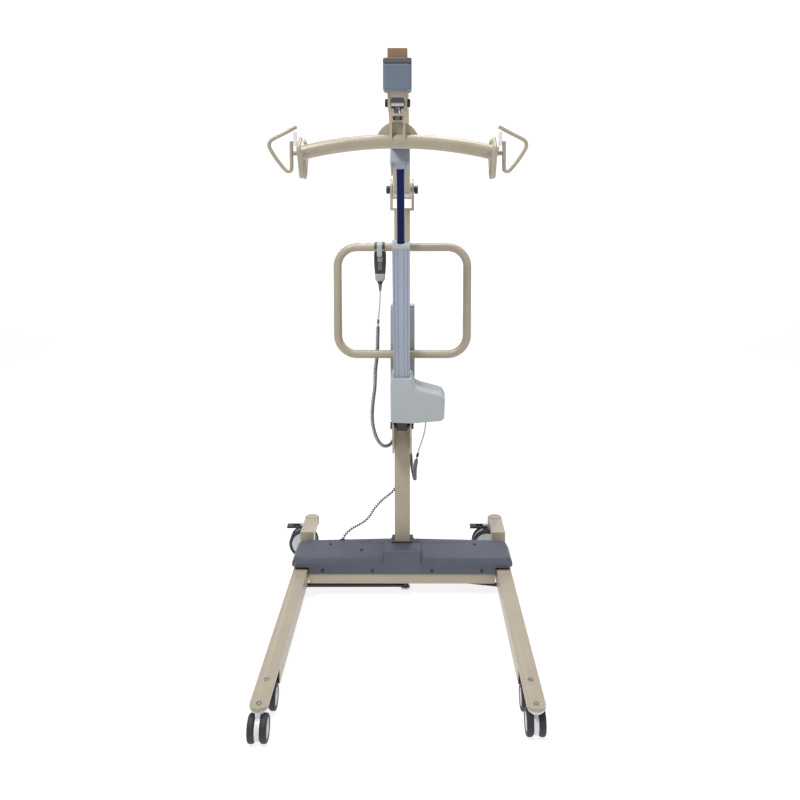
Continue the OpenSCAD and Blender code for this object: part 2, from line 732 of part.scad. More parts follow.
// Arched tube with its gusset and closed ends
module hanger_bar() color(tan_paint)
    translate([0, hanger_y, 0]) {
        translate([0, 0, bar_z - bar_arc_r]) rotate([90, 0, 0]) {
            rotate([0, 0, 90 - arc_half]) rotate_extrude(angle = 2 * arc_half)
                translate([bar_arc_r, 0]) difference() {
                    circle(r = bar_d / 2, $fn = 48);
                    circle(r = bar_d / 2 - 3, $fn = 48);
                }
            for (s = [-1, 1]) rotate([0, 0, 90 + s * arc_half]) translate([bar_arc_r, 0, 0])
                rotate([90, 0, 0]) cylinder(r = bar_d / 2 - 0.5, h = 4, center = true);
        }
        // stubs that join the hooks to the tube
        for (s = [-1, 1]) {
            translate([s * (spine_x - 12), 0, 1374]) bar_along_x(5, 14.6);
            for (f = [-1, 1]) translate([s * (spine_x - 27), f * 16.2, 1376]) bar_along_y(5, 2);
        }
        difference() {
            translate([0, 0, gusset_top - 51]) bar_along_y(51, 6);
            span([-80, -10, 1300], [80, 10, bar_z + 14]);
        }
    }

// Outer hook on side s: down the spine, round the outer corner and back above the spine
function outer_hook(s) = [for (q = [[0, 1402], [0, 1342], [2, 1334], [9, 1332], [17, 1338],
    [33, 1358], [48, 1381], [52, 1392], [50, 1401], [41, 1408], [13, 1422], [-13, 1436]])
    [s * (spine_x + q[0]), 0, q[1]]];
// Front or rear hook on side s, reaching out to the side f
function side_hook(s, f) = [for (q = [[21.8, 1380], [22, 1350], [25, 1327], [31, 1319], [40, 1322],
    [55, 1344], [70, 1366], [74, 1377], [70, 1386], [58, 1393], [36, 1406]])
    [s * (spine_x - 27), f * q[0], q[1]]];

module sling_hooks() color(tan_paint)
    translate([0, hanger_y, 0])
        for (s = [-1, 1]) {
            cord(outer_hook(s), 4.5, 12);
            for (f = [-1, 1]) cord(side_hook(s, f), 4.5, 12, [1, 0, 0]);
        }

// Safety clip that closes the gap between the outer hook's spine and its tip
module clip(s) color([0.92, 0.92, 0.93])
    translate([s * (spine_x - 9), hanger_y, 0]) {
        span([-4, -7, 1396], [4, 7, 1424]);
        translate([0, 0, 1396]) bar_along_y(4.2, 14);
    }

module left_clip() clip(-1);
module right_clip() clip(1);

// ---------- casters ----------

// Twin wheels on one axle; the wheel centre is t behind the stem in direction (dx, dy)
module wheels(p, dx, dy, trail, d, w) color(black)
    translate([p[0] + dx * trail, p[1] + dy * trail, d / 2]) rotate([0, 0, atan2(dy, dx)]) {
        for (s = [-1, 1]) translate([0, s * (w / 2 - 8), 0]) rotate([90, 0, 0])
            rotate_extrude() polygon([[5, -8], [d / 2 - 3.5, -8], [d / 2, -4.5], [d / 2, 4.5],
                                      [d / 2 - 3.5, 8], [5, 8]]);
        bar_along_y(5.02, w - 1);
    }

// Body of a caster with its head on top and a mudguard between the wheels
module fork(p, dx, dy, trail, d, w, top) {
    translate([p[0], p[1], 0]) rotate([0, 0, atan2(dy, dx)]) difference() {
        union() {
            translate([0, 0, d + 1]) cylinder(r = 15, h = top - d - 1 - head_gap);
            translate([0, 0, top - 6]) cylinder(r = 20, h = 6 - head_gap);
            span([0, -w / 2 + 17, d / 2 - 9], [trail + 8, w / 2 - 17, top - 4]);
            translate([trail, 0, d / 2]) bar_along_y(d / 2 - 4, w - 34);
            children();
        }
        translate([trail, 0, d / 2]) bar_along_y(5.1, 60);
    }
}

module front_fork(s, y, dy) color(grey_light)
    difference() {
        fork([s * leg_x, y], 0, dy, lead_trail, front_wheel_d, 46, leg_top - 8);
        translate([s * leg_x, y, front_wheel_d - 2]) cylinder(r = 5.06, h = 30);
    }
module front_wheels(s, y, dy) wheels([s * leg_x, y], 0, dy, lead_trail, front_wheel_d, 46);

module left_lead_fork() front_fork(-1, lead_y, -1);
module left_lead_wheels() front_wheels(-1, lead_y, -1);
module left_second_fork() front_fork(-1, second_y, 1);
module left_second_wheels() front_wheels(-1, second_y, 1);
module right_lead_fork() front_fork(1, lead_y, 1);
module right_lead_wheels() front_wheels(1, lead_y, 1);
module right_second_fork() front_fork(1, second_y, 1);
module right_second_wheels() front_wheels(1, second_y, 1);

module rear_fork(s) color(grey_light)
    difference() {
        fork([s * leg_x, rear_y], -1, 0, rear_trail, rear_wheel_d, 52, rear_low - 1) {
            translate([0, 0, rear_low - 3]) cylinder(r = 8, h = 16);
            span([24, -7, 88], [42, 7, 113]);
        }
        translate([s * leg_x - pedal_x, rear_y, pedal_z]) bar_along_y(4 + fit, 60);
    }
module rear_wheels(s) wheels([s * leg_x, rear_y], -1, 0, rear_trail, rear_wheel_d, 52);

// Brake pedal: two arms on a cross pin above the wheels, joined by a toe plate
module brake_pedal(s) color(black)
    translate([s * leg_x - pedal_x, rear_y, pedal_z]) {
        bar_along_y(4, 28);
        for (f = [-1, 1]) span([-55, f * 11.8 - 2.2, -3.5], [6, f * 11.8 + 2.2, 4]);
        span([-55, -14, -3.5], [-34, 14, 4]);
    }

module left_rear_fork() rear_fork(-1);
module left_rear_wheels() rear_wheels(-1);
module left_brake_pedal() brake_pedal(-1);
module right_rear_fork() rear_fork(1);
module right_rear_wheels() rear_wheels(1);
module right_brake_pedal() brake_pedal(1);

base_frame();
mast();
mast_collar();
base_cover();
cover_screws();
frame_bolts();
push_handle();
control_box();
battery_pack();
emergency_stop();
handset_core();
handset_shell();
lift_rocker();
legs_rocker();
handset_strain_relief();
handset_cord_tail();
handset_cord_curl();
motor_lead_tail();
motor_lead_curl();
leg_lead();
actuator_housing();
actuator_tube();
tube_end_cap();
actuator_rod();
rod_end();
boom_tube();
boom_channel();
boom_pad();
boom_end_cap();
pivot_hub();
boom_bolts();
swivel_eye();
hanger_yoke();
hanger_bar();
sling_hooks();
left_clip();
right_clip();
left_leg();
right_leg();
left_caster_bolts();
right_caster_bolts();
crank();
left_tie();
right_tie();
spread_actuator();
spread_rod();
left_lead_fork();
left_lead_wheels();
left_second_fork();
left_second_wheels();
right_lead_fork();
right_lead_wheels();
right_second_fork();
right_second_wheels();
left_rear_fork();
left_rear_wheels();
left_brake_pedal();
right_rear_fork();
right_rear_wheels();
right_brake_pedal();
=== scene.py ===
"""Looks of a powered patient lift hoist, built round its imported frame.

Metres and degrees. X runs to the viewer's right, Y away from the viewer, and Z up from the floor.
"""
import json
import math

import bmesh
import bpy
from mathutils import Matrix, Vector


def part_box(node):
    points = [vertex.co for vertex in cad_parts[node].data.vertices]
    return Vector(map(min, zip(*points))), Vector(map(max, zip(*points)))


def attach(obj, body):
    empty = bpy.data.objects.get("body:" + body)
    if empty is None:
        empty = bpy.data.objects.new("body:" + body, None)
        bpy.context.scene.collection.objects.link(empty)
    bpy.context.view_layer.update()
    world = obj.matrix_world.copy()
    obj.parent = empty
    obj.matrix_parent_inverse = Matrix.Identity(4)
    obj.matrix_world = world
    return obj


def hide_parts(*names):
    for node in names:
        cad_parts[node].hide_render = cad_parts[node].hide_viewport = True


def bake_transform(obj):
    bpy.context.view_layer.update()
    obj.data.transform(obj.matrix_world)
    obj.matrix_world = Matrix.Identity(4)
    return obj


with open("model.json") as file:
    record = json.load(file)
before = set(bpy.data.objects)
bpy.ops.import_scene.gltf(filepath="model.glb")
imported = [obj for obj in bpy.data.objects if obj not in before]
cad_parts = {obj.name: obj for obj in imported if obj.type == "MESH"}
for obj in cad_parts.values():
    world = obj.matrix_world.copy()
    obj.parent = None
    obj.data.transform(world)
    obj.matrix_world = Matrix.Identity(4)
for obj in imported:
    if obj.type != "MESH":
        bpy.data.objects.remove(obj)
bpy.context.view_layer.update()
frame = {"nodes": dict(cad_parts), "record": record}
NODES = frame["nodes"]
RECORD = frame["record"]
JOINTS = {j["name"]: j for j in RECORD["behaviour"]["joints"]}
SLOT_OF = {p["node"]: p["material_slot"] for p in RECORD["subparts"]}


def joint_at(name):
    """Place of a joint."""
    return Vector(JOINTS[name]["pos_m"])


# ---------- camera, floor and light ----------

CAMERA_PLACE = (0.0390, -2.7375, 1.2592)
CAMERA_PITCH = 5.0
CAMERA_YAW = 0.2
CAMERA_SHIFT = (-0.0142, -0.1536)
FOCAL_IN_WIDTHS = 1.0649
SENSOR = 36.0


def make_camera():
    data = bpy.data.cameras.new("camera")
    data.sensor_width = SENSOR
    data.lens = FOCAL_IN_WIDTHS * SENSOR
    data.shift_x, data.shift_y = CAMERA_SHIFT
    camera = bpy.data.objects.new("camera", data)
    camera.location = CAMERA_PLACE
    camera.rotation_euler = (math.radians(90 - CAMERA_PITCH), 0, math.radians(CAMERA_YAW))
    bpy.context.collection.objects.link(camera)
    bpy.context.scene.camera = camera


def make_light(name, place, aim, size, power):
    """Square lamp that looks at a point; power is in watts."""
    data = bpy.data.lights.new(name, "AREA")
    data.size = size
    data.energy = power
    light = bpy.data.objects.new(name, data)
    light.location = place
    light.rotation_euler = (Vector(aim) - Vector(place)).to_track_quat("-Z", "Y").to_euler()
    bpy.context.collection.objects.link(light)


def stage_plane(name, place, size, tilt, colour, glow):
    """Matt sheet that belongs to the studio and glows white, so that it shows as plain paper."""
    bpy.ops.mesh.primitive_plane_add(size=size, location=place,
                                     rotation=(math.radians(tilt), 0, 0))
    sheet = bpy.context.object
    sheet.name = name
    paint = bpy.data.materials.new(name)
    paint.use_nodes = True
    shader = paint.node_tree.nodes["Principled BSDF"]
    shader.inputs["Base Color"].default_value = (colour, colour, colour, 1)
    shader.inputs["Roughness"].default_value = 1.0
    shader.inputs["Specular IOR Level"].default_value = 0.0
    shader.inputs["Emission Color"].default_value = (1, 1, 1, 1)
    shader.inputs["Emission Strength"].default_value = glow
    sheet.data.materials.append(paint)


def make_stage():
    stage_plane("studio_floor", (0, 0, -0.0005), 40, 0, 0.3, 0.82)
    stage_plane("studio_backdrop", (0, 7, -1.2), 10.6, 90, 0.2, 1.0)
    world = bpy.data.worlds.new("studio")
    world.use_nodes = True
    sky = world.node_tree.nodes["Background"]
    sky.inputs["Color"].default_value = (0.95, 0.97, 1.0, 1)
    sky.inputs["Strength"].default_value = 0.24
    bpy.context.scene.world = world
    bpy.context.scene.view_settings.view_transform = "Standard"
    make_light("key", (-1.6, -2.2, 4.4), (0, -0.2, 0.8), 1.2, 125)
    make_light("fill", (2.8, -2.4, 2.2), (0, 0, 0.8), 1.6, 20)
    make_light("top", (0.3, 0.2, 4.6), (0, 0, 0.5), 2.0, 120)


# ---------- materials ----------

PATCH_SCALE = 14.0
SPECKLE = 0.18
EDGE_FROM, EDGE_TO = 0.52, 0.62
WORN_TONE = 1.5
COAT_ROUGH = 0.15
RELIEF_DEPTH = 0.0002


def shade(rgb, factor):
    """Colour made darker or lighter, with alpha."""
    return tuple(min(1.0, c * factor) for c in rgb) + (1.0,)


def surface(name, rgb, rough, metal=0.0, grain=600.0, bump=0.02, spread=0.08, wear=0.0,
            coat=0.0, stretch=(1, 1, 1), sheen=0.0):
    """Material with patchy colour, uneven gloss and a fine relief.

    grain is the scale of the fine noise, spread how far the patches' tone differs, wear how much
    the sharp edges are lightened, and stretch draws the noise out along an axis.
    """
    mat = bpy.data.materials.new(name)
    mat.use_nodes = True
    tree = mat.node_tree
    shader = tree.nodes["Principled BSDF"]
    shader.inputs["Metallic"].default_value = metal
    shader.inputs["Coat Weight"].default_value = coat
    shader.inputs["Coat Roughness"].default_value = COAT_ROUGH
    shader.inputs["Sheen Weight"].default_value = sheen

    def node(kind, **values):
        made = tree.nodes.new(kind)
        for key, value in values.items():
            made.inputs[key].default_value = value
        return made

    place = tree.nodes.new("ShaderNodeTexCoord")
    mapping = node("ShaderNodeMapping", Scale=stretch)
    tree.links.new(place.outputs["Object"], mapping.inputs["Vector"])
    patches = node("ShaderNodeTexNoise", Scale=PATCH_SCALE, Detail=4.0, Roughness=0.6)
    grains = node("ShaderNodeTexNoise", Scale=grain, Detail=3.0, Roughness=0.55)
    for noise in (patches, grains):
        tree.links.new(mapping.outputs["Vector"], noise.inputs["Vector"])
    tone = tree.nodes.new("ShaderNodeValToRGB")
    tone.color_ramp.elements[0].position = 0.3
    tone.color_ramp.elements[0].color = shade(rgb, 1 - spread)
    tone.color_ramp.elements[1].position = 0.7
    tone.color_ramp.elements[1].color = shade(rgb, 1 + spread)
    tree.links.new(patches.outputs["Fac"], tone.inputs["Fac"])
    speckle = tree.nodes.new("ShaderNodeMix")
    speckle.data_type = "RGBA"
    speckle.blend_type = "SOFT_LIGHT"
    speckle.inputs["Factor"].default_value = SPECKLE
    tree.links.new(tone.outputs["Color"], speckle.inputs["A"])
    tree.links.new(grains.outputs["Color"], speckle.inputs["B"])
    colour = speckle.outputs["Result"]
    if wear:
        geometry = tree.nodes.new("ShaderNodeNewGeometry")
        edge = node("ShaderNodeMapRange")
        edge.inputs["From Min"].default_value = EDGE_FROM
        edge.inputs["From Max"].default_value = EDGE_TO
        edge.inputs["To Max"].default_value = wear
        tree.links.new(geometry.outputs["Pointiness"], edge.inputs["Value"])
        worn = tree.nodes.new("ShaderNodeMix")
        worn.data_type = "RGBA"
        worn.inputs["B"].default_value = shade(rgb, WORN_TONE)
        tree.links.new(edge.outputs["Result"], worn.inputs["Factor"])
        tree.links.new(colour, worn.inputs["A"])
        colour = worn.outputs["Result"]
    tree.links.new(colour, shader.inputs["Base Color"])
    gloss = node("ShaderNodeMapRange")
    gloss.inputs["To Min"].default_value = max(0.03, rough - 0.07)
    gloss.inputs["To Max"].default_value = min(1.0, rough + 0.09)
    tree.links.new(patches.outputs["Fac"], gloss.inputs["Value"])
    tree.links.new(gloss.outputs["Result"], shader.inputs["Roughness"])
    relief = node("ShaderNodeBump", Strength=bump * 10, Distance=RELIEF_DEPTH)
    tree.links.new(grains.outputs["Fac"], relief.inputs["Height"])
    tree.links.new(relief.outputs["Normal"], shader.inputs["Normal"])
    return mat


MATERIALS = {name: surface(name, rgb, rough, **extra) for name, rgb, rough, extra in (
    ("tan_paint", (0.385, 0.328, 0.25), 0.40,
     {"grain": 420, "bump": 0.03, "wear": 0.3, "spread": 0.05, "coat": 0.15}),
    ("blue_grey_plastic", (0.080, 0.089, 0.121), 0.5, {"grain": 1500, "bump": 0.05, "wear": 0.25}),
    ("light_grey_plastic", (0.40, 0.43, 0.45), 0.42, {"grain": 1300, "bump": 0.04, "spread": 0.04}),
    ("black_plastic", (0.022, 0.022, 0.026), 0.45, {"grain": 1500, "bump": 0.05, "spread": 0.15}),
    ("zinc_steel", (0.42, 0.42, 0.43), 0.33, {"metal": 1.0, "grain": 900, "spread": 0.15}),
    ("chrome", (0.42, 0.43, 0.46), 0.16,
     {"metal": 1.0, "grain": 500, "bump": 0.004, "spread": 0.05}),
    ("aluminium", (0.31, 0.345, 0.42), 0.40,
     {"metal": 0.4, "grain": 1100, "bump": 0.02, "stretch": (1, 1, 0.04)}),
    ("red_plastic", (0.52, 0.02, 0.015), 0.28, {"coat": 0.4, "bump": 0.01}),
    ("white_nylon", (0.74, 0.75, 0.77), 0.4, {"grain": 900, "spread": 0.03}),
    ("tyre", (0.028, 0.028, 0.031), 0.62, {"grain": 700, "bump": 0.08, "spread": 0.2}),
    ("pad_foam", (0.125, 0.162, 0.212), 0.62, {"grain": 950, "bump": 0.12, "sheen": 0.15}),
    ("pad_band", (0.10, 0.096, 0.10), 0.65, {"grain": 950, "bump": 0.12, "sheen": 0.1}),
    ("brown_plastic", (0.27, 0.185, 0.095), 0.45, {"grain": 1200, "bump": 0.05}),
    ("rod_steel", (0.012, 0.018, 0.07), 0.16,
     {"metal": 1.0, "grain": 700, "bump": 0.004, "stretch": (1, 1, 0.05)}),
    ("cord_grey", (0.17, 0.175, 0.185), 0.5, {"grain": 1600, "bump": 0.05}),
    ("cord_pale", (0.56, 0.57, 0.58), 0.5, {"grain": 1600, "bump": 0.05}),
    ("lead_dark", (0.13, 0.13, 0.14), 0.5, {"grain": 1600, "bump": 0.05}),
    ("dark_steel", (0.05, 0.05, 0.055), 0.38, {"metal": 0.8, "grain": 900, "spread": 0.2}),
    ("handset_dark", (0.045, 0.045, 0.05), 0.42, {"grain": 1500, "bump": 0.05}),
    ("disc_grey", (0.56, 0.57, 0.59), 0.45, {"grain": 1200, "bump": 0.03, "spread": 0.04}),
)}
# CAD nodes whose look differs from their slot's.
LOOK_OF_NODE = {name: "dark_steel" for name in ("boom_bolts", "cover_screws", "frame_bolts",
                                                "left_tie", "right_tie")}
LOOK_OF_NODE["actuator_rod"] = "rod_steel"
LOOK_OF_NODE.update({f"{side}_{place}_fork": "white_nylon" for side in ("left", "right")
                     for place in ("lead", "second")})


# ---------- shape helpers ----------

def finish_piece(piece, look, body, nodes=()):
    """Gives a piece its material and body, and hides the CAD nodes that it stands for."""
    piece.data.materials.clear()
    piece.data.materials.append(MATERIALS[look])
    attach(piece, body)
    if nodes:
        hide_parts(*nodes)


def add_modifier(piece, kind, **values):
    made = piece.modifiers.new(kind.lower(), kind)
    for key, value in values.items():
        setattr(made, key, value)


def round_edges(piece, width, segments=3, angle=35):
    """Small rounding where faces meet at more than an angle."""
    add_modifier(piece, "BEVEL", width=width, segments=segments, limit_method="ANGLE",
                 angle_limit=math.radians(angle), harden_normals=False)
    add_modifier(piece, "WEIGHTED_NORMAL", keep_sharp=False)


def smooth_faces(mesh):
    mesh.polygons.foreach_set("use_smooth", [True] * len(mesh.polygons))


def object_from(bm, name="helper", place=None):
    """Object from a bmesh, which is moved by a matrix and used up; boolean() takes helpers."""
    if place is not None:
        bm.transform(place)
    bmesh.ops.recalc_face_normals(bm, faces=bm.faces)
    mesh = bpy.data.meshes.new(name)
    bm.to_mesh(mesh)
    bm.free()
    made = bpy.data.objects.new(name, mesh)
    bpy.context.collection.objects.link(made)
    return made


def mesh_piece(name, bm, look, body, nodes=(), place=None, bevel=0.0, segments=3):
    """Visible piece made straight from a bmesh."""
    piece = object_from(bm, name, place)
    smooth_faces(piece.data)
    if bevel:
        round_edges(piece, bevel, segments)
    finish_piece(piece, look, body, nodes)


def carved_piece(piece, name, look, body, nodes, bevel, angle=35):
    """Visible piece out of a helper that has been through boolean()."""
    piece.name = name
    smooth_faces(piece.data)
    round_edges(piece, bevel, 2, angle)
    finish_piece(piece, look, body, nodes)


def box_into(bm, low, high):
    """Adds a box between two corners."""
    low, high = Vector(low), Vector(high)
    made = bmesh.ops.create_cube(bm, size=1.0)["verts"]
    for v in made:
        v.co = Vector([(low[i] + high[i]) / 2 + v.co[i] * (high[i] - low[i]) for i in range(3)])
    return made


def rod_into(bm, start, end, radius, sides=40, end_radius=None):
    """Adds a cylinder or cone between two points."""
    start, end = Vector(start), Vector(end)
    made = bmesh.ops.create_cone(bm, cap_ends=True, segments=sides, radius1=radius,
                                 radius2=radius if end_radius is None else end_radius,
                                 depth=(end - start).length)["verts"]
    turn = (end - start).to_track_quat("Z", "Y").to_matrix().to_4x4()
    bmesh.ops.transform(bm, matrix=Matrix.Translation((start + end) / 2) @ turn, verts=made)


MOST_OF_EDGE = 0.45


def rounded_outline(points, radius, steps=6):
    """Polygon whose corners are soft curves; radius is one value or one per corner."""
    made = []
    count = len(points)
    for i, point in enumerate(points):
        r = radius[i] if isinstance(radius, (list, tuple)) else radius
        here = Vector(point)
        to_last = Vector(points[i - 1]) - here
        to_next = Vector(points[(i + 1) % count]) - here
        back, ahead = to_last.normalized(), to_next.normalized()
        half = back.angle(ahead) / 2
        cut = min(r / math.tan(half), MOST_OF_EDGE * to_last.length, MOST_OF_EDGE * to_next.length)
        first, last = here + back * cut, here + ahead * cut
        for k in range(steps + 1):
            t = k / steps
            made.append((1 - t) ** 2 * first + 2 * t * (1 - t) * here + t * t * last)
    return made


def loft(bm, rings):
    """Faces between equal rings of points, with end faces."""
    rows = [[bm.verts.new(p) for p in ring] for ring in rings]
    for low, high in zip(rows, rows[1:]):
        for i in range(len(low)):
            j = (i + 1) % len(low)
            bm.faces.new((low[i], low[j], high[j], high[i]))
    bm.faces.new(rows[0][::-1])
    bm.faces.new(rows[-1])


def lathe(bm, profile, sides=64):
    """Turns (radius, height) pairs round Z into a closed ring."""
    rows = []
    for k in range(sides):
        a = 2 * math.pi * k / sides
        rows.append([bm.verts.new((r * math.cos(a), r * math.sin(a), h)) for r, h in profile])
    count = len(profile)
    for here, there in zip(rows, rows[1:] + rows[:1]):
        for i in range(count):
            j = (i + 1) % count
            bm.faces.new((here[i], there[i], there[j], here[j]))


def inset(points, amount):
    """A convex plan outline drawn in by an amount."""
    made = []
    count = len(points)
    for i, point in enumerate(points):
        here = Vector(point)
        before = (here - Vector(points[i - 1])).normalized()
        after = (Vector(points[(i + 1) % count]) - here).normalized()
        n1, n2 = Vector((-before.y, before.x)), Vector((-after.y, after.x))
        bisector = (n1 + n2).normalized()
        made.append(here + bisector * (amount / max(0.3, bisector.dot(n1))))
    return made


def boolean(piece, cutters, operation="DIFFERENCE"):
    """Cuts or joins with helper objects, applies the result and removes them."""
    for cutter in cutters:
        add_modifier(piece, "BOOLEAN", object=cutter, operation=operation, solver="EXACT")
    graph = bpy.context.evaluated_depsgraph_get()
    mesh = bpy.data.meshes.new_from_object(piece.evaluated_get(graph))
    piece.modifiers.clear()
    piece.data = mesh
    for cutter in cutters:
        bpy.data.objects.remove(cutter)


def box_helper(low, high):
    bm = bmesh.new()
    box_into(bm, low, high)
    return object_from(bm)


# ---------- cords ----------

FINE_STEPS = 24
CORD_STEP = 0.004


def route_length(points):
    return sum((b - a).length for a, b in zip(points, points[1:]))


def smooth_route(points, step):
    """Even points along a Catmull-Rom curve through a given route."""
    points = [Vector(p) for p in points]
    ends = [2 * points[0] - points[1]] + points + [2 * points[-1] - points[-2]]
    fine = []
    for a, b, c, d in zip(ends, ends[1:], ends[2:], ends[3:]):
        for k in range(FINE_STEPS):
            t = k / FINE_STEPS
            fine.append(0.5 * (2 * b + (c - a) * t + (2 * a - 5 * b + 4 * c - d) * t * t
                               + (3 * b - a - 3 * c + d) * t ** 3))
    fine.append(points[-1])
    step = route_length(fine) / round(route_length(fine) / step)
    made = [fine[0]]
    left = step
    for a, b in zip(fine, fine[1:]):
        length = (b - a).length
        while left <= length:
            a = a + (b - a).normalized() * left
            made.append(a)
            length = (b - a).length
            left = step
        left -= length
    if (made[-1] - fine[-1]).length < step / 2:
        made.pop()
    made.append(fine[-1])
    return made


def helix(points, radius, pitch, turn_points=14, plain=0.012):
    """Curly cord round a route; its turns widen and narrow after a plain stretch at each end."""
    total = route_length(points)
    step = pitch / turn_points
    path = smooth_route(points, step)
    side = Vector((0.1, 1, 0.2)).cross(path[1] - path[0]).normalized()
    made = []
    angle = 0.0
    for i, point in enumerate(path):
        ahead = (path[min(i + 1, len(path) - 1)] - path[max(i - 1, 0)]).normalized()
        side = (side - ahead * side.dot(ahead)).normalized()
        other = ahead.cross(side)
        near = min(i * step, total - i * step)
        reach = radius * max(0.0, min(1.0, (near - plain) / (1.5 * pitch)))
        angle += 2 * math.pi * step / pitch * reach / radius
        made.append(point + reach * (math.cos(angle) * side + math.sin(angle) * other))
    return made


def curve_piece(name, points, radius, look, resolution=3):
    """Round wire or cord along points."""
    curve = bpy.data.curves.new(name, "CURVE")
    curve.dimensions = "3D"
    curve.bevel_depth = radius
    curve.bevel_resolution = resolution
    curve.use_fill_caps = True
    spline = curve.splines.new("POLY")
    spline.points.add(len(points) - 1)
    for target, point in zip(spline.points, points):
        target.co = (*point, 1)
    spline.use_smooth = True
    curve.materials.append(MATERIALS[look])
    piece = bpy.data.objects.new(name, curve)
    bpy.context.collection.objects.link(piece)
    return piece


HANDSET_TAIL = [(-0.074, 0.071, 0.968), (-0.0745, 0.071, 0.955), (-0.075, 0.071, 0.940),
                (-0.076, 0.071, 0.925), (-0.077, 0.071, 0.910), (-0.0785, 0.071, 0.895),
                (-0.080, 0.071, 0.880), (-0.081, 0.071, 0.866)]
HANDSET_CURL = [(-0.081, 0.071, 0.866), (-0.082, 0.071, 0.845), (-0.083, 0.071, 0.810),
                (-0.084, 0.071, 0.775), (-0.087, 0.071, 0.735), (-0.091, 0.071, 0.700),
                (-0.092, 0.071, 0.665), (-0.094, 0.070, 0.635), (-0.098, 0.068, 0.605),
                (-0.101, 0.066, 0.575), (-0.102, 0.064, 0.545), (-0.100, 0.063, 0.518),
                (-0.094, 0.062, 0.492), (-0.086, 0.062, 0.470), (-0.074, 0.062, 0.452),
                (-0.058, 0.063, 0.444), (-0.042, 0.066, 0.450), (-0.030, 0.070, 0.468),
                (-0.024, 0.075, 0.495), (-0.021, 0.080, 0.530), (-0.020, 0.085, 0.570),
                (-0.020, 0.089, 0.610), (-0.020, 0.090, 0.638)]
MOTOR_TAIL = [(0.075, -0.0755, 0.566), (0.075, -0.0745, 0.557), (0.0745, -0.0735, 0.547),
              (0.073, -0.0725, 0.536), (0.0705, -0.0715, 0.524), (0.067, -0.0705, 0.511),
              (0.0625, -0.0695, 0.497), (0.0575, -0.0685, 0.482), (0.0525, -0.0675, 0.466),
              (0.049, -0.067, 0.452)]
MOTOR_CURL = [(0.049, -0.067, 0.452), (0.045, -0.060, 0.430), (0.042, -0.050, 0.407),
              (0.041, -0.038, 0.384), (0.041, -0.021, 0.365), (0.041, 0.000, 0.354),
              (0.039, 0.020, 0.354), (0.035, 0.038, 0.366), (0.030, 0.052, 0.390),
              (0.026, 0.064, 0.425), (0.022, 0.074, 0.470), (0.021, 0.082, 0.520),
              (0.020, 0.088, 0.570), (0.020, 0.090, 0.610), (0.020, 0.090, 0.638)]
LEG_LEAD = [(0.000, 0.090, 0.638), (0.000, 0.088, 0.600), (0.000, 0.082, 0.555),
            (-0.001, 0.074, 0.505), (-0.003, 0.065, 0.455), (-0.006, 0.057, 0.405),
            (-0.011, 0.050, 0.355), (-0.020, 0.046, 0.318), (-0.034, 0.044, 0.295),
            (-0.050, 0.044, 0.281), (-0.066, 0.044, 0.268), (-0.082, 0.044, 0.252),
            (-0.097, 0.045, 0.233), (-0.110, 0.046, 0.212), (-0.124, 0.047, 0.195),
            (-0.142, 0.048, 0.182), (-0.162, 0.049, 0.171), (-0.180, 0.050, 0.158),
            (-0.194, 0.050, 0.143), (-0.202, 0.050, 0.128), (-0.203, 0.050, 0.112)]
PLAIN_CORD = 0.005
# Coils: outer diameter, wire and pitch.
HAND_COIL = (0.013, 0.0036, 0.0045)
LEG_COIL = (0.010, 0.0038, 0.0085)


def as_mesh(piece):
    """The same piece as a mesh object, for what a curve can't do."""
    graph = bpy.context.evaluated_depsgraph_get()
    mesh = bpy.data.meshes.new_from_object(piece.evaluated_get(graph))
    made = bpy.data.objects.new(piece.name + "_tube", mesh)
    bpy.context.collection.objects.link(made)
    bpy.data.objects.remove(piece)
    return made


def straight_cord(name, route, node, bends=False):
    """Plain cord on the base, or, with bends set, one that starts on the actuator, made a mesh with
    its place baked in.
    """
    points = smooth_route(route, CORD_STEP)
    piece = curve_piece(name, points, PLAIN_CORD / 2, "cord_pale")
    if bends:
        piece = as_mesh(piece)
        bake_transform(piece)
    else:
        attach(piece, "base")
    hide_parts(node)


def curly_cord(name, route, node, coil, look):
    outer, wire, pitch = coil
    points = helix(smooth_route(route, CORD_STEP), (outer - wire) / 2, pitch)
    piece = curve_piece(name, points, wire / 2, look, resolution=2)
    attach(piece, "base")
    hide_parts(node)


def make_cords():
    straight_cord("handset_cord_plain", HANDSET_TAIL, "handset_cord_tail")
    straight_cord("motor_lead_plain", MOTOR_TAIL, "motor_lead_tail", bends=True)
    curly_cord("handset_cord_curly", HANDSET_CURL, "handset_cord_curl", HAND_COIL, "cord_grey")
    curly_cord("motor_lead_curly", MOTOR_CURL, "motor_lead_curl", HAND_COIL, "cord_grey")
    curly_cord("leg_lead_curly", LEG_LEAD, "leg_lead", LEG_COIL, "lead_dark")


# ---------- rounded solids ----------

GROOVE_HALF, GROOVE_FLOOR, GROOVE_DEEP = 0.0006, 0.0004, 0.0009


def facing_front(u, v, w):
    return (u, w, v)


def facing_up(u, v, w):
    return (u, v, w)


def pillow(bm, corners, radius, low, high, edge, place, grooves=(), steps=5):
    """Prism over rounded corners with rolled edges and fine grooves.

    It runs from low to high along w, and place turns (u, v, w) into a point.
    """
    roll = [(edge * (1 - math.cos(math.pi / 2 * k / steps)),
             edge * (1 - math.sin(math.pi / 2 * k / steps))) for k in range(steps + 1)]
    rows = [(low + rise, drawn_in) for rise, drawn_in in roll]
    for at in grooves:
        rows += [(at - GROOVE_HALF, 0), (at - GROOVE_FLOOR, GROOVE_DEEP),
                 (at + GROOVE_FLOOR, GROOVE_DEEP), (at + GROOVE_HALF, 0)]
    rows += [(high - rise, drawn_in) for rise, drawn_in in reversed(roll)]
    loft(bm, [[place(p.x, p.y, w) for p in rounded_outline(inset(corners, d), radius)]
              for w, d in rows])


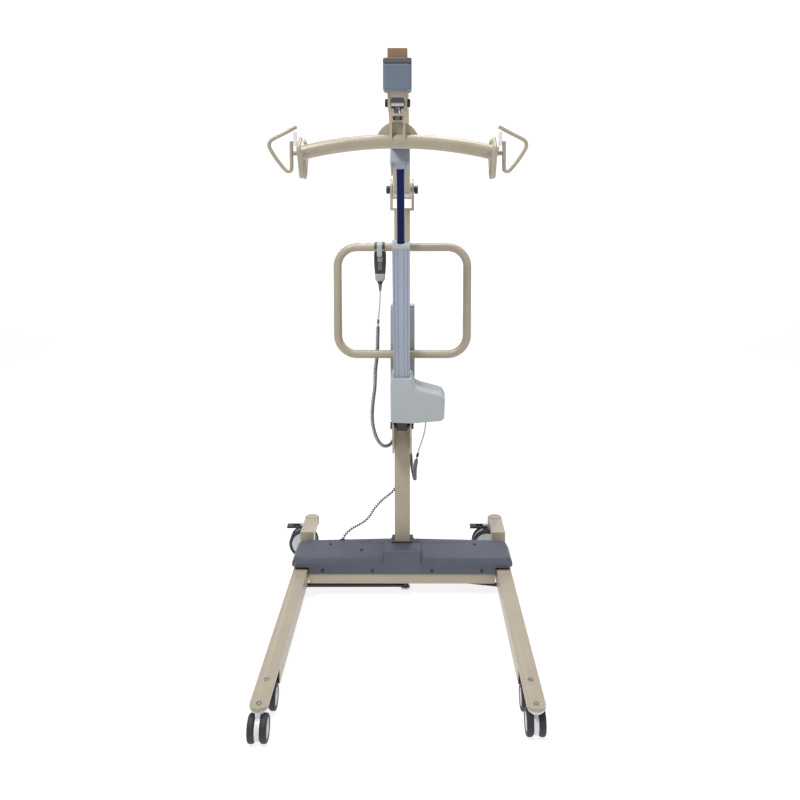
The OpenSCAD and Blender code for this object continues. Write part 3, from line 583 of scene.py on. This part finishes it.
def stack(bm, rows, corner):
    """Loft through level rounded rectangles, each given as (z, x0, x1, y0, y1)."""
    rings = []
    for z, x0, x1, y0, y1 in rows:
        plan = [(x0, y0), (x1, y0), (x1, y1), (x0, y1)]
        rings.append([(p.x, p.y, z) for p in rounded_outline(plan, corner)])
    loft(bm, rings)


# ---------- lift actuator ----------

LIFT_LEAN = 18.2
LIFT = (Matrix.Translation(joint_at("lift_actuator_tilt"))
        @ Matrix.Rotation(math.radians(LIFT_LEAN), 4, "X"))
CASE_HALF_DEPTH = 0.032


def make_actuator():
    """Two-shell case of the lift motor, with its foot (black as painted shade), cord gland and
    screws.
    """
    outline = [(-0.0355, 0.036), (-0.029, 0.027), (0.030, 0.024), (0.062, 0.0275), (0.124, 0.033),
               (0.133, 0.043), (0.1345, 0.108), (0.125, 0.127), (0.062, 0.146), (0.043, 0.155),
               (0.036, 0.168), (0.0305, 0.1875), (-0.0295, 0.1875), (-0.0350, 0.160)]
    rounding = [0.006, 0.006, 0.02, 0.02, 0.009, 0.009, 0.014, 0.014, 0.02, 0.014, 0.01, 0.002,
                0.002, 0.02]
    bm = bmesh.new()
    pillow(bm, outline, rounding, -CASE_HALF_DEPTH, CASE_HALF_DEPTH, 0.008, facing_front,
           grooves=(0.0,))
    mesh_piece("actuator_case", bm, "light_grey_plastic", "actuator", ["actuator_housing"], LIFT)
    # The foot is black as painted shade: its colour stands in for the shadow under the case.
    bm = bmesh.new()
    box_into(bm, (-0.017, -0.017, 0), (0.017, 0.017, 0.032))
    rod_into(bm, (-0.017, 0, 0), (0.017, 0, 0), 0.017)
    mesh_piece("actuator_foot_painted_shade", bm, "black_plastic", "actuator", ["actuator_housing"], LIFT, 0.0015)
    bm = bmesh.new()
    rod_into(bm, (0.075, 0.004, 0.030), (0.075, 0.004, 0.022), 0.008, end_radius=0.0075)
    rod_into(bm, (0.075, 0.004, 0.022), (0.075, 0.004, 0.014), 0.0055, end_radius=0.0036)
    mesh_piece("actuator_gland", bm, "black_plastic", "actuator", ["actuator_housing"], LIFT, 0.0005)
    bm = bmesh.new()
    for x, h in ((-0.024, 0.052), (0.022, 0.048), (0.116, 0.052), (0.112, 0.112), (-0.026, 0.168),
                 (0.026, 0.168)):
        rod_into(bm, (x, 0.0321, h), (x, 0.0305, h), 0.0032, 24)
    mesh_piece("actuator_case_screws", bm, "dark_steel", "actuator", (), LIFT, 0.0003)


# ---------- handset ----------

HAND_X, HAND_Y = -0.074, 0.071
TUBE_Y, TUBE_Z = 0.0415, 1.114
KEY_HALF = 0.013


def hook_outline(inner, outer, front, back_low):
    """Side outline of a J round the handle tube; front is the angle where the arc ends in front."""
    steps = 24
    arc = [math.radians(front - front * k / steps) for k in range(steps + 1)]
    made = [(TUBE_Y + outer * math.cos(a), TUBE_Z + outer * math.sin(a)) for a in arc]
    made += [(TUBE_Y + outer, back_low), (TUBE_Y + inner, back_low)]
    made += [(TUBE_Y + inner * math.cos(a), TUBE_Z + inner * math.sin(a)) for a in reversed(arc)]
    return made


def extrude_x(bm, outline, x0, x1):
    """Prism over a side outline of (y, z) points."""
    loft(bm, [[(x, y, z) for y, z in outline] for x in (x0, x1)])


def make_handset():
    """Handset with its back to the viewer, hung on the handle by a J hook.

    Rows of a stack are given as (z, half width, half depth).
    """
    x, y = HAND_X, HAND_Y
    bm = bmesh.new()
    stack(bm, [(z, x - w, x + w, y - d, y + d + 0.001) for z, w, d in (
        (1.0243, 0.0160, 0.0095), (1.0252, 0.0172, 0.0105), (1.0400, 0.0185, 0.0118),
        (1.0600, 0.0197, 0.0120), (1.0880, 0.0200, 0.0120), (1.0945, 0.0195, 0.0117),
        (1.0985, 0.0178, 0.0102), (1.1000, 0.0150, 0.0080))], 0.006)
    shell = object_from(bm)
    boolean(shell, [box_helper((x - KEY_HALF, y + 0.007, z - KEY_HALF),
                               (x + KEY_HALF, y + 0.02, z + KEY_HALF)) for z in (1.046, 1.076)])
    carved_piece(shell, "handset_dark_shell", "handset_dark", "base", ["handset_shell"], 0.0006)
    bm = bmesh.new()
    extrude_x(bm, hook_outline(0.0139, 0.0172, 200, 1.080), x - 0.0165, x + 0.0165)
    mesh_piece("handset_hood", bm, "handset_dark", "base", ["handset_core"], bevel=0.0008)
    bm = bmesh.new()
    extrude_x(bm, hook_outline(0.0170, 0.0192, 196, 1.066), x - 0.0085, x + 0.0085)
    tongue = [(x - 0.0085, 1.0835), (x + 0.0085, 1.0835), (x + 0.0085, 1.110), (x - 0.0085, 1.110)]
    pillow(bm, tongue, [0.006, 0.006, 0.001, 0.001], 0.0215, 0.0242, 0.0009, facing_front,
           steps=3)
    mesh_piece("handset_hook", bm, "light_grey_plastic", "base", ["handset_core"], bevel=0.0006)
    bm = bmesh.new()
    stack(bm, [(z, x - w, x + w, y - d, y + d) for z, w, d in (
        (1.0000, 0.0120, 0.0088), (1.0015, 0.0138, 0.0100), (1.0070, 0.0158, 0.0108),
        (1.0180, 0.0168, 0.0110), (1.0240, 0.0170, 0.0110), (1.0252, 0.0160, 0.0100))], 0.0055)
    mesh_piece("handset_lower_case", bm, "light_grey_plastic", "base", ["handset_core"])
    bm = bmesh.new()
    rod_into(bm, (x, y, 1.0008), (x, y, 0.9925), 0.0104, end_radius=0.0084)
    mesh_piece("handset_nut", bm, "black_plastic", "base", ["handset_core"], bevel=0.0008)
    bm = bmesh.new()
    profile = [(0.0026, 0.968), (0.0040, 0.968)]
    for k in range(5):
        low = 0.9695 + 0.0045 * k
        r = 0.0042 + 0.0006 * k
        profile += [(r, low), (r + 0.0002, low + 0.0030),
                    (r - 0.0006, low + 0.0032), (r - 0.0006, low + 0.0043)]
    profile += [(0.0072, 0.9922), (0.0026, 0.9926)]
    lathe(bm, profile, 40)
    mesh_piece("handset_cord_sleeve", bm, "cord_grey", "base", ["handset_strain_relief"],
               Matrix.Translation((x, y, 0)))
    bm = bmesh.new()
    window = [(x - 0.0065, 1.038), (x + 0.0065, 1.038), (x + 0.0065, 1.066), (x - 0.0065, 1.066)]
    pillow(bm, window, 0.002, y - 0.0131, y - 0.0115, 0.0006, facing_front, steps=2)
    for k in range(5):
        rise = 0.0045 * k
        box_into(bm, (x - 0.0050, y - 0.0136, 1.0425 + rise),
                 (x + 0.0050, y - 0.0128, 1.0445 + rise))
    mesh_piece("handset_back_ribs", bm, "cord_grey", "base", (), None, 0.0003)


# ---------- base cover ----------

COVER_PLAN = [(-0.355, -0.086), (-0.341, -0.100), (0.341, -0.100), (0.355, -0.086), (0.355, 0.037),
              (0.341, 0.059), (-0.341, 0.059), (-0.355, 0.037)]
BLOCK_PLAN = [(-0.060, -0.1004), (0.060, -0.1004), (0.060, -0.0255), (-0.060, -0.0255)]
RIDGE = [(-0.318, 0.1228), (-0.045, 0.1292), (0.045, 0.1292), (0.318, 0.1228), (0.318, 0.118),
         (-0.318, 0.118)]
RIDGE_ROOT, RIDGE_LOWEST = 0.12, 0.119
LEAD_X, LEAD_Y = -0.203, 0.050


def moulded(plan, corner, rows):
    """Helper lofted over a plan; each row is (z, inset)."""
    bm = bmesh.new()
    loft(bm, [[(p.x, p.y, z) for p in rounded_outline(inset(plan, d), corner, 3)] for z, d in rows])
    return object_from(bm)


def make_ridge():
    """Low ridge along the back of the cover; each row is (y, drop of the crest)."""
    bm = bmesh.new()
    loft(bm, [[(x, y, z if z < RIDGE_ROOT else max(RIDGE_LOWEST, z - drop)) for x, z in RIDGE]
              for y, drop in ((0.0285, 0.0052), (0.0330, 0.0008), (0.0350, 0), (0.0520, 0),
                              (0.0545, 0.0012), (0.0560, 0.0040))])
    return object_from(bm)


def make_cover():
    """Hollow cover over the cross beam, with its block, ridge and the leg lead's grommet."""
    cover = moulded(COVER_PLAN, 0.004, [
        (0.072, 0.0004), (0.0725, 0), (0.1045, 0), (0.1055, 0.0004), (0.1195, 0.0075),
        (0.1225, 0.0098), (0.1238, 0.0125), (0.1240, 0.0150)])
    block = moulded(BLOCK_PLAN, 0.003, [
        (0.0721, 0.0003), (0.1405, 0), (0.1455, 0.0022), (0.1475, 0.0045), (0.1480, 0.0065)])
    boolean(cover, [block, make_ridge()], "UNION")
    hollow = moulded(COVER_PLAN, 0.004, [
        (0.070, 0.003), (0.104, 0.003), (0.1180, 0.0105), (0.1205, 0.0130)])
    cutters = [hollow, box_helper((-0.057, -0.097, 0.071), (0.057, -0.0282, 0.145)),
               box_helper((-0.0255, -0.0255, 0.10), (0.0255, 0.0255, 0.16))]
    for s in (-1, 1):
        for x0, x1, y0, y1 in ((0.299, 0.36, -0.11, 0.07), (0.282, 0.36, 0.010, 0.07)):
            left, right = sorted((s * x0, s * x1))
            cutters.append(box_helper((left, y0, 0.060), (right, y1, 0.094)))
    bm = bmesh.new()
    rod_into(bm, (LEAD_X, LEAD_Y, 0.10), (LEAD_X, LEAD_Y, 0.14), 0.0075)
    cutters.append(object_from(bm))
    boolean(cover, cutters)
    carved_piece(cover, "cover_moulding", "blue_grey_plastic", "base", ["base_cover"], 0.0008, 25)
    bm = bmesh.new()
    lathe(bm, [(0.0051, 0.1195), (0.0074, 0.1195), (0.0074, 0.1240), (0.0098, 0.1240),
               (0.0098, 0.1252), (0.0080, 0.1268), (0.0056, 0.1268), (0.0051, 0.1262)], 40)
    mesh_piece("cover_grommet", bm, "black_plastic", "base", (),
               Matrix.Translation((LEAD_X, LEAD_Y, 0)))


# ---------- boom end ----------

BOOM_RISE = 19.2
PAD_PLAN = [(-0.0328, -0.772), (0.0328, -0.772), (0.0328, -0.712), (-0.0328, -0.712)]


def make_pad():
    """Foam pad with a band on the boom's end, hollow round the boom's tube and post."""
    along_boom = (Matrix.Translation(joint_at("boom_lift"))
                  @ Matrix.Rotation(math.radians(-BOOM_RISE), 4, "X"))
    for name, look, low, high, edge in (("boom_pad_body", "pad_foam", 1.5140, 1.5745, 0.005),
                                        ("boom_pad_band", "pad_band", 1.5748, 1.5870, 0.0025)):
        bm = bmesh.new()
        pillow(bm, PAD_PLAN, 0.008, low, high, edge, facing_up)
        pad = object_from(bm)
        bm = bmesh.new()
        box_into(bm, (-0.0254, -0.749, -0.0254), (0.0254, -0.028, 0.0254))
        tube = object_from(bm, place=along_boom)
        boolean(pad, [box_helper((-0.0227, -0.7482, 1.5), (0.0227, -0.688, 1.62)), tube])
        carved_piece(pad, name, look, "boom", ["boom_pad"], 0.0008)
    bm = bmesh.new()
    box_into(bm, (-0.0229, -0.7484, 1.5880), (0.0229, -0.7026, 1.6125))
    mesh_piece("boom_plug", bm, "brown_plastic", "boom", ["boom_end_cap"], None, 0.0012)


# ---------- hanger ----------

HANGER_Y = -0.725
SPINE_X = 0.249
HOOK_WIRE = 0.009
HOOK_STEP = 0.0025
# Routes in millimetres: outwards from the bar's end, or away from its middle plane, and up.
OUTER_HOOK = [(0, 1402), (0, 1342), (2, 1334), (9, 1332), (17, 1338), (33, 1358), (48, 1381),
              (52, 1392), (50, 1401), (41, 1408), (13, 1422), (-13, 1436)]
SIDE_HOOK = [(21.8, 1380), (22, 1350), (25, 1327), (31, 1319), (40, 1322), (55, 1344), (70, 1366),
             (74, 1377), (70, 1386), (58, 1393), (36, 1406)]


def make_hook(name, route):
    wire = curve_piece(name, smooth_route(route, HOOK_STEP), HOOK_WIRE / 2, "tan_paint", 5)
    finish_piece(as_mesh(wire), "tan_paint", "hanger", ["sling_hooks"])


def make_hooks():
    """Six open sling hooks: one on the outside and two across the bar at each end."""
    for s, name in ((-1, "left"), (1, "right")):
        make_hook(name + "_outer_hook",
                  [(s * (SPINE_X + x / 1000), HANGER_Y, z / 1000) for x, z in OUTER_HOOK])
        for f, end in ((-1, "front"), (1, "back")):
            make_hook(f"{name}_{end}_hook",
                      [(s * (SPINE_X - 0.027), HANGER_Y + f * y / 1000, z / 1000)
                       for y, z in SIDE_HOOK])


# ---------- casters ----------

TREAD_HALF = 0.008
SPOKES = 6


def make_wheels():
    """Twin wheels: two tyres, two dished discs with spokes, and the axle between them."""
    for node in [n for n in NODES if n.endswith("_wheels")]:
        low, high = (Vector(v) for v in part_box(node))
        front = "rear" not in node
        size = high - low
        r = size.z / 2
        wide = size.x if front else size.y
        turn = Matrix.Rotation(math.radians(90), 4, "Y" if front else "X")
        place = Matrix.Translation((low + high) / 2) @ turn
        body = node[:-1]
        tread, discs = bmesh.new(), bmesh.new()
        for s in (-1, 1):
            h = s * (wide / 2 - TREAD_HALF)
            lathe(tread, [(r - 0.0105, h - 0.0072), (r - 0.004, h - 0.0080),
                          (r - 0.0015, h - 0.0066), (r, h - 0.0035),
                          (r, h + 0.0035), (r - 0.0015, h + 0.0066),
                          (r - 0.004, h + 0.0080), (r - 0.0105, h + 0.0072)])
            lathe(discs, [(0.0045, h - s * 0.0070), (r - 0.0107, h - s * 0.0070),
                          (r - 0.0107, h + s * 0.0066), (r - 0.0130, h + s * 0.0072),
                          (r - 0.0150, h + s * 0.0060), (0.0110, h + s * 0.0046),
                          (0.0095, h + s * 0.0072), (0.0045, h + s * 0.0076)])
            below, above = sorted((h + s * 0.003, h + s * 0.0066))
            for k in range(SPOKES):
                spoke = box_into(discs, (0.010, -0.0012, below), (r - 0.0135, 0.0012, above))
                bmesh.ops.transform(discs, matrix=Matrix.Rotation(2 * math.pi / SPOKES * k, 4, "Z"),
                                    verts=spoke)
        rod_into(discs, (0, 0, -wide / 2 + 0.0008), (0, 0, wide / 2 - 0.0008), 0.0048, 24)
        mesh_piece(body + "_tread", tread, "tyre", body, [node], place)
        mesh_piece(body + "_discs", discs, "disc_grey", body, [node], place, 0.0004, 2)


# ---------- small parts ----------

LEG_END_X = 0.326


def make_small_parts():
    """Leg end caps, sleeves where the curly leads begin, and the plugs under the control box."""
    for s, leg in ((-1, "leg_left"), (1, "leg_right")):
        bm = bmesh.new()
        x = s * LEG_END_X
        box_into(bm, (x - 0.0215, -0.6695, 0.0395), (x + 0.0215, -0.6655, 0.0775))
        mesh_piece(leg + "_end_cap", bm, "black_plastic", leg, (), None, 0.001)
    bm = bmesh.new()
    rod_into(bm, (0.0512, -0.0673, 0.4595), (0.0478, -0.0666, 0.4470), 0.0042, 28)
    mesh_piece("motor_lead_sleeve", bm, "black_plastic", "base", (), None, 0.0008)
    bm = bmesh.new()
    rod_into(bm, (-0.0806, 0.071, 0.872), (-0.0814, 0.071, 0.858), 0.0042, 28)
    mesh_piece("handset_lead_sleeve", bm, "cord_grey", "base", (), None, 0.0008)
    bm = bmesh.new()
    for x in (-0.020, 0.0, 0.020):
        rod_into(bm, (x, 0.090, 0.6395), (x, 0.090, 0.6300), 0.0068, 28, 0.0056)
    mesh_piece("control_box_plugs", bm, "black_plastic", "base", (), None, 0.0006)


# ---------- CAD nodes kept as they are ----------

EDGE_WIDTHS = {
    "mast": 0.0035, "boom_tube": 0.0035, "base_frame": 0.003, "left_leg": 0.0035,
    "right_leg": 0.0035, "control_box": 0.004, "battery_pack": 0.004, "boom_channel": 0.002,
    "boom_end_cap": 0.002, "tube_end_cap": 0.003, "mast_collar": 0.003, "actuator_tube": 0.0015,
    "rod_end": 0.002, "hanger_yoke": 0.0015, "crank": 0.001, "left_tie": 0.001,
    "right_tie": 0.001, "spread_actuator": 0.004, "spread_rod": 0.001, "boom_bolts": 0.002,
    "frame_bolts": 0.001, "cover_screws": 0.0006, "left_caster_bolts": 0.001,
    "right_caster_bolts": 0.001, "pivot_hub": 0.003, "left_clip": 0.001, "right_clip": 0.001,
    "lift_rocker": 0.001, "legs_rocker": 0.001, "emergency_stop": 0.002, "swivel_eye": 0.0015,
    "left_brake_pedal": 0.001, "right_brake_pedal": 0.001}
EDGE_WIDTHS.update({name: 0.0015 for name in NODES if name.endswith("_fork")})
WELD_GAP = 0.00002


def dress_nodes():
    """Materials for every CAD node, and small rounded edges on the sheet metal and tubes."""
    for name, node in NODES.items():
        look = LOOK_OF_NODE.get(name, SLOT_OF[name])
        node.data.materials.clear()
        node.data.materials.append(MATERIALS[look])
        if name in EDGE_WIDTHS:
            add_modifier(node, "WELD", merge_threshold=WELD_GAP)
            add_modifier(node, "DECIMATE", decimate_type="DISSOLVE", angle_limit=math.radians(2))
            round_edges(node, EDGE_WIDTHS[name], 3, 40)


make_camera()
make_stage()
make_cords()
make_actuator()
make_handset()
make_cover()
make_pad()
make_hooks()
make_wheels()
make_small_parts()
dress_nodes()
